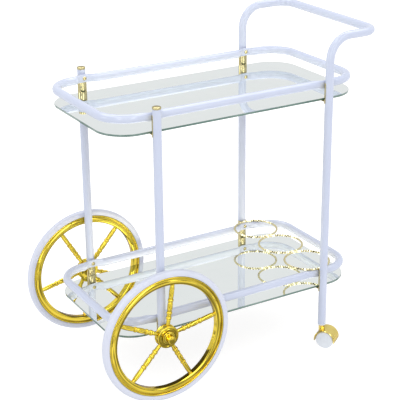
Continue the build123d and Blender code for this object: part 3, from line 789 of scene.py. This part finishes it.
def hood_shell(bm, axle, across, trail):
    """Curved sheet over both wheels, from skirt to skirt."""
    half_w, edge_r, edge_w = 21.0, 1.0, 1.2
    droop = math.asin(HOOD_SKIRT / HOOD_R)
    up_turn = trail.cross(UP)
    section = [(HOOD_IN_R, -half_w), (HOOD_R - edge_r, -half_w), (HOOD_R, edge_w - half_w),
               (HOOD_R, half_w - edge_w), (HOOD_R - edge_r, half_w), (HOOD_IN_R, half_w)]
    verts, edges = draw_line(bm, [axle + (across * w + trail * r) * MM for r, w in section])
    bmesh.ops.rotate(bm, verts=verts, cent=axle, matrix=Matrix.Rotation(-droop, 3, up_turn))
    bmesh.ops.spin(bm, geom=verts + edges, cent=axle, axis=up_turn, angle=math.pi + 2 * droop,
                   steps=HOOD_STEPS)
    cap_ends(bm, sides=len(section))


def hood_web(bm, axle, across):
    """Web between the wheels, cut off level with the skirts, and the boss round the axle."""
    half_t, web_r, boss_r, edge = 3.0, HOOD_IN_R + 1, 6.0, 0.4
    place = place_along(axle, across)
    web = turn_on_lathe(bm, [(0, -half_t), (web_r, -half_t), (web_r, half_t), (0, half_t)], place, steps=64)
    whole_web = web + touching(web, "link_edges") + touching(web, "link_faces")
    cut = bmesh.ops.bisect_plane(bm, geom=whole_web, plane_co=axle - UP * (HOOD_SKIRT * MM), plane_no=-UP,
                                 clear_outer=True)
    rim = [item for item in cut["geom_cut"] if isinstance(item, bmesh.types.BMEdge)]
    bmesh.ops.edgeloop_fill(bm, edges=rim)
    boss = [(0, -half_t), (boss_r - edge, -half_t), (boss_r, edge - half_t), (boss_r, half_t - edge),
            (boss_r - edge, half_t), (0, half_t)]
    turn_on_lathe(bm, boss, place, steps=40)


def hood_neck(bm, axle, trail, top):
    """Grooved neck that turns under the leg, run down onto the round of the hood."""
    neck_r, edge, groove, sink = 7.5, 0.5, 0.7, 0.8
    collar = [(0, 0), (neck_r - edge, 0), (neck_r, -edge), (neck_r, -2.0), (neck_r - groove, -2.5),
              (neck_r - groove, -3.2), (neck_r, -3.7)]
    made = turn_on_lathe(bm, collar, Matrix.Translation(top), steps=48)
    lowest = min(vert.co.z for vert in made)
    ring = tube_run(bm, [vert for vert in made if vert.co.z < lowest + MERGE], UP * -MM)
    for vert in ring:
        away = (vert.co - axle).dot(trail) / MM
        rise = math.sqrt(max(HOOD_R**2 - away**2, 0)) - sink
        vert.co.z = axle.z + max(rise, 0) * MM
    bmesh.ops.edgeloop_fill(bm, edges=ring_edges(ring))


def caster_hood(side):
    """Hood over both wheels, the web between them, and the neck that turns under the leg."""
    axle, foot, across = caster_parts(side)
    node = f"caster_hood_{side}"
    trail = (axle - foot).normalized()
    bm = bmesh.new()
    hood_shell(bm, axle, across, trail)
    hood_web(bm, axle, across)
    hood_neck(bm, axle, trail, (foot.x, foot.y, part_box(node)[1].z))
    make_piece(bm, f"caster_hood_shell_{side}", f"{side}_caster", [HOOD_GOLD_LIT], node)


def caster_disc(side, which):
    """Caster wheel with a crowned outer face and a rounded tread."""
    axle, _, across = caster_parts(side)
    node = f"caster_{which}_wheel_{side}"
    outward = across if (middle(node) - axle).dot(across) > 0 else -across
    disc_r, inner, width, crown, tread_r, edge, crown_steps = 22.5, 3.3, 16.0, 1.8, 3.2, 1.5, 8
    face = inner + width
    outline = [(0, inner), (disc_r - edge, inner), (disc_r, inner + edge), (disc_r, face - tread_r)]
    outline += arc((disc_r - tread_r, face - tread_r), (tread_r, tread_r), 0, 78, 8)
    for step in range(1, crown_steps + 1):
        share = 1 - step / crown_steps
        outline.append(((disc_r - tread_r) * share, face + crown * (1 - share**2)))
    bm = bmesh.new()
    turn_on_lathe(bm, outline, place_along(axle, outward), steps=64)
    make_piece(bm, f"caster_{which}_disc_{side}", f"{side}_caster_{which}_wheel", [PLASTIC], node)


# Build the cart

handle_tube()
for shelf in SHELVES:
    guard_rail(shelf)
    mirror_shelf(shelf)
    shelf_pads(shelf)
    for end in ends:
        for side in SIDES:
            saddle_bracket(shelf, end, side)
dome_head_screws()
bottle_rings()
for side in SIDES:
    front_leg(side)
    leg_cap(side)
    white_tyre(side)
    gold_rim(side)
    turned_spokes(side)
    drum_hub(side)
    hub_cap(side)
    caster_hood(side)
    for which in ("front", "back"):
        caster_disc(side, which)

# Inner pieces keep their CAD shape and get their finish
KEPT = {"leg_inserts": ZINC}
for side in SIDES:
    KEPT.update({f"axle_bolt_{side}": GOLD, f"axle_spacer_{side}": WHEEL_GOLD, f"wheel_bush_{side}": BUSH,
                 f"axle_washer_{side}": ZINC, f"axle_nut_{side}": ZINC, f"caster_stem_{side}": ZINC,
                 f"caster_axle_{side}": ZINC, f"caster_socket_{side}": PLASTIC,
                 f"front_leg_plug_{side}": PLASTIC})
for node, material in KEPT.items():
    mesh = frame["nodes"][node].data
    mesh.materials.clear()
    mesh.materials.append(material)


# Stage, light and camera

def floor_white():
    """Floor whose paint and glow are white to the eye, and which glows in a cloud of painted light and shade
    where the gloss of the metal sees it.
    """
    material = bpy.data.materials.new("floor_white")
    material.use_nodes = True
    tree = material.node_tree
    shader = tree.nodes["Principled BSDF"]
    shader.inputs["Roughness"].default_value = 0.9
    shader.inputs["Specular IOR Level"].default_value = 0.1
    shader.inputs["Emission Strength"].default_value = 0.82
    ray = add_node(tree, "ShaderNodeLightPath")
    for_gloss, for_eye = ray.outputs["Is Glossy Ray"], ray.outputs["Is Camera Ray"]
    place = add_node(tree, "ShaderNodeTexCoord").outputs["Object"]
    # To gloss rays the floor glows in dark and bright patches: painted light and shade, seen only in the
    # metal's reflections.
    cloud = noise(tree, place, scale=5.0, detail=1.0)
    gloss_light_and_shade = colour_ramp(tree, cloud, ((0.38, grey(0.10)), (0.56, grey(1.25))))
    paint = mix_colours(tree, for_gloss, grey(0.4), grey(0.2))
    glow = mix_colours(tree, for_eye, grey(0.7), grey(1))
    tree.links.new(paint, shader.inputs["Base Color"])
    tree.links.new(mix_colours(tree, for_gloss, glow, gloss_light_and_shade), shader.inputs["Emission Color"])
    return material


def pale_floor():
    """Large plain floor."""
    half_size = 14
    bm = bmesh.new()
    bmesh.ops.create_grid(bm, x_segments=1, y_segments=1, size=half_size)
    mesh = bpy.data.meshes.new("pale_floor")
    bm.to_mesh(mesh)
    bm.free()
    mesh.materials.append(floor_white())
    floor = bpy.data.objects.new("pale_floor", mesh)
    scene.collection.objects.link(floor)


# Directions in the studio, from the cart towards the front of the room and across it
ROOM_FRONT = (-0.507, -0.862, 0)
ROOM_SIDE = (0.862, -0.507, 0)


def share_along(tree, way, direction):
    """How far a direction runs along another."""
    product = add_node(tree, "ShaderNodeVectorMath", {0: way, 1: direction}, operation="DOT_PRODUCT")
    return product.outputs["Value"]


def windows_and_flags(tree, way, height):
    """Bright windows and dark flags side by side, which fade out higher up."""
    wave_count, wave_start = 9.0, 0.6
    turns = calculate(tree, "MULTIPLY_ADD", share_along(tree, way, ROOM_SIDE), wave_count, wave_start)
    wave = fit_span(tree, calculate(tree, "SINE", turns), (-1.0, 1.0))
    bands = colour_ramp(tree, wave, ((0.06, grey(5.0)), (0.2, grey(1.1)), (0.6, grey(0.85)),
                                     (0.82, (0.04, 0.04, 0.05, 1))))
    fade = fit_span(tree, height, (0.1, 0.26), (0.0, 0.85), interpolation_type="SMOOTHSTEP")
    return mix_colours(tree, 1.0, bands, fade, blend_type="LIGHTEN")


def studio_world():
    """Even white studio, whose gloss has a bright roof, and windows and dark flags at the front."""
    world = bpy.data.worlds.new("studio")
    scene.world = world
    world.use_nodes = True
    tree = world.node_tree
    way = add_node(tree, "ShaderNodeTexCoord").outputs["Generated"]
    for_gloss = add_node(tree, "ShaderNodeLightPath").outputs["Is Glossy Ray"]
    height = add_node(tree, "ShaderNodeSeparateXYZ", {"Vector": way}).outputs["Z"]
    overhead = fit_span(tree, height, (0.4, 0.75), interpolation_type="SMOOTHSTEP")
    matt_room = mix_colours(tree, overhead, grey(0.98), grey(1.45))
    gloss_room = colour_ramp(tree, height, ((0.68, (0.93, 0.94, 0.955, 1)), (0.76, grey(3.8)),
                                            (0.90, grey(3.8)), (0.97, (0.78, 0.79, 0.8, 1))), "EASE")
    room = mix_colours(tree, for_gloss, matt_room, gloss_room)
    at_front = fit_span(tree, share_along(tree, way, ROOM_FRONT), (0.1, 0.4),
                        interpolation_type="SMOOTHSTEP")
    front_share = calculate(tree, "MULTIPLY", at_front, for_gloss)
    studio = mix_colours(tree, front_share, room, windows_and_flags(tree, way, height))
    background = tree.nodes["Background"]
    background.inputs["Strength"].default_value = 0.9
    tree.links.new(studio, background.inputs["Color"])


def soft_light(name, spot, aim, size, power, colour=(1, 1, 1), side_hint=UP):
    """Large soft box that shines at a point."""
    data = bpy.data.lights.new(name, "AREA")
    data.shape = "RECTANGLE"
    data.size, data.size_y = size
    data.energy = power
    data.color = colour
    light = bpy.data.objects.new(name, data)
    light.matrix_world = place_along(spot, Vector(spot) - Vector(aim), side_hint)
    scene.collection.objects.link(light)
    return light


def mirror_bounce(shelf, power, colour):
    """Light that a mirror throws up on the rails and legs, which the renderer leaves out."""
    low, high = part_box(f"{shelf}_shelf")
    spot = Vector(((low.x + high.x) / 2, 0, high.z + MM))
    size = (high.x - low.x - MIRROR_CORNER_R, high.y - low.y - MIRROR_CORNER_R)
    bounce = soft_light(f"{shelf}_mirror_bounce", spot, spot + UP, size, power, colour, side_hint=ACROSS)
    bounce.visible_camera = False
    bounce.visible_glossy = False


def photo_camera():
    """Camera fitted to the photograph, which is taken as a square of 400 by 400 pixels."""
    spot = Vector((-1.3766, -2.3402, 1.4765))
    yaw, pitch, roll = (math.radians(angle) for angle in (-30.41, -21.91, -0.55))
    focal_px, image_px = 1181.2, 400
    forward = Vector((-math.sin(yaw) * math.cos(pitch), math.cos(yaw) * math.cos(pitch), math.sin(pitch)))
    right = Vector((math.cos(yaw), math.sin(yaw), 0))
    up = right.cross(forward)
    right, up = (math.cos(roll) * right + math.sin(roll) * up, math.cos(roll) * up - math.sin(roll) * right)
    data = bpy.data.cameras.new("photo_camera")
    data.sensor_width = 36
    data.lens = data.sensor_width * focal_px / image_px
    camera = bpy.data.objects.new("photo_camera", data)
    turn = Matrix((right, up, -forward)).transposed().to_4x4()
    camera.matrix_world = Matrix.Translation(spot) @ turn
    scene.collection.objects.link(camera)
    scene.camera = camera


pale_floor()
studio_world()
soft_light("back_top_box", spot=(1.25, 2.15, 4.7), aim=(0, 0, 0.3), size=(3.0, 1.0), power=14)
soft_light("front_low_box", spot=(-3.6, -4.9, 1.2), aim=(0, 0, 0.4), size=(3.0, 1.0), power=8)
soft_light("front_high_box", spot=(-2.0, -3.4, 4.4), aim=(0, 0, 0.4), size=(2.4, 1.2), power=11)
soft_light("right_strip", spot=(2.8, -5.2, 1.2), aim=(0, 0, 0.4), size=(0.7, 3.0), power=10)
mirror_bounce("upper", power=0.26, colour=(1.0, 0.80, 0.30))
mirror_bounce("lower", power=0.92, colour=(1.0, 0.88, 0.56))
photo_camera()
scene.view_settings.view_transform = "Standard"
